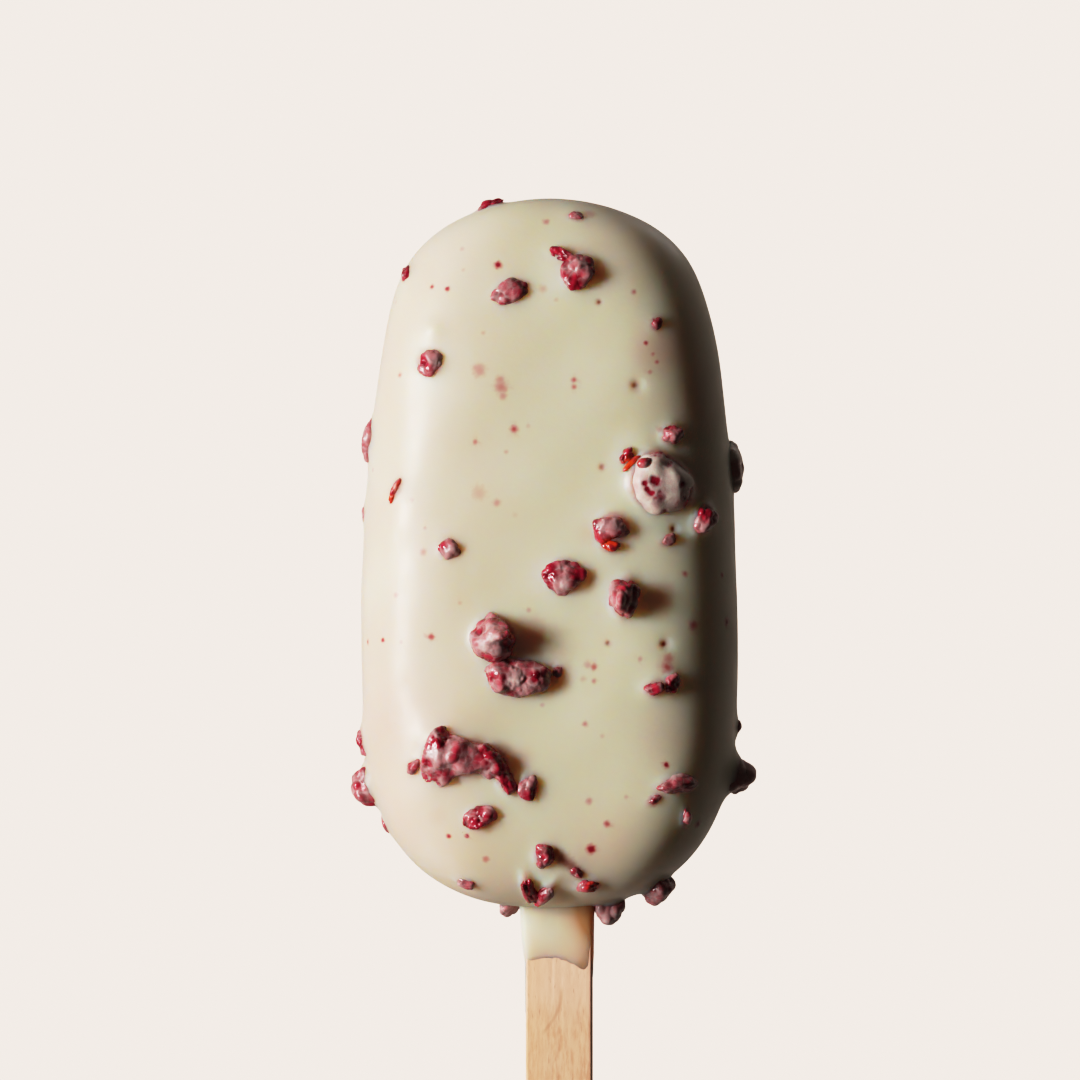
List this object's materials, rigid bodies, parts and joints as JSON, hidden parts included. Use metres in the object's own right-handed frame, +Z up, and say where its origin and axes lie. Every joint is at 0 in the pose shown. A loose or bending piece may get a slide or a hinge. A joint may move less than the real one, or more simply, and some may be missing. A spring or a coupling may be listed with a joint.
{
  "type": "gelato bar",
  "caption": "Gelato bar on a flat wooden stick, dipped in white chocolate set with raspberry pieces; it lies on its back.",
  "frame": {"origin": "centre of the flat spot on the back that the bar lies on, on the bar's centre line and halfway along it", "axes": "+Z up, out of the bar's front; +Y along the bar from the stick to the crown; +X to the bar's right as seen from the front"},
  "size_m": [0.0555, 0.1492, 0.0304],
  "materials": {
    "white_chocolate": "satin ivory coating",
    "raspberry": "freeze-dried raspberry, part filmed with coating",
    "beech_wood": "plain sanded wood"
  },
  "bodies": {
    "root": {"coated_bar": "white_chocolate", "stick": "beech_wood", "raspberry_cluster": "raspberry", "raspberry_chunk_upper": "raspberry", "raspberry_chunk_lower": "raspberry"}
  },
  "joints": []
}
